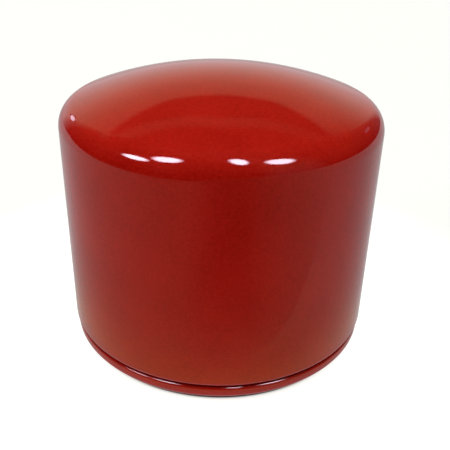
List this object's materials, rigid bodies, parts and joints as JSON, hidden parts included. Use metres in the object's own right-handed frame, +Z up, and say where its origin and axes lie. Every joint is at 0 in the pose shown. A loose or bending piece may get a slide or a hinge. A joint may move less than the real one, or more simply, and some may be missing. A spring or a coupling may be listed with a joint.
{
  "type": "spin-on oil filter",
  "caption": "Short domed spin-on oil filter with a rolled seam, face gasket, threaded base plate, pleated element, drainback flap and spring-loaded bypass valve.",
  "frame": {"origin": "on the filter's axis, at the sealing face of the gasket, which is the lowest point", "axes": "+Z up the axis from the threaded open end to the dome; +X through one inlet hole"},
  "size_m": [0.075, 0.075, 0.0657],
  "materials": {
    "enamel": "gloss",
    "plated_steel": "zinc plated",
    "tinned_steel": "tinned sheet",
    "spring_steel": "drawn wire",
    "gasket_rubber": "matte",
    "valve_rubber": "satin",
    "filter_paper": "resin-impregnated",
    "potting": "cured plastisol",
    "sealing_compound": "cured compound"
  },
  "bodies": {
    "housing": {"can_shell": "enamel", "seam_lid": "enamel", "seam_sealing_compound": "sealing_compound", "base_gasket": "gasket_rubber", "base_plate": "plated_steel", "element_spring": "spring_steel"},
    "element": {"lower_end_cap": "tinned_steel", "upper_end_cap": "tinned_steel", "lower_potting": "potting", "upper_potting": "potting", "center_tube": "tinned_steel", "pleated_media": "filter_paper", "media_clip": "tinned_steel", "bypass_valve_body": "tinned_steel", "bypass_valve_seat": "tinned_steel", "bypass_valve_spring": "spring_steel"},
    "bypass_poppet": {"bypass_valve_seal": "valve_rubber", "bypass_valve_poppet": "plated_steel", "bypass_valve_stem": "plated_steel"},
    "drainback_flap": {"anti_drainback_valve": "valve_rubber"}
  },
  "joints": [
    {"name": "element_lift", "type": "slide", "parent": "housing", "child": "element", "axis": [0, 0, 1], "range_m": [0, 0.002], "stiffness_N_per_m": 4000, "springref_m": -0.003, "deforming": ["element_spring"]},
    {"name": "bypass_valve_open", "type": "slide", "parent": "element", "child": "bypass_poppet", "axis": [0, 0, -1], "range_m": [0, 0.003], "stiffness_N_per_m": 300, "springref_m": -0.005, "deforming": ["bypass_valve_spring"]},
    {"name": "drainback_valve_open", "type": "slide", "parent": "housing", "child": "drainback_flap", "axis": [0, 0, 1], "range_m": [0, 0.0015], "stiffness_N_per_m": 200, "springref_m": -0.0025, "deforming": ["anti_drainback_valve"]}
  ]
}
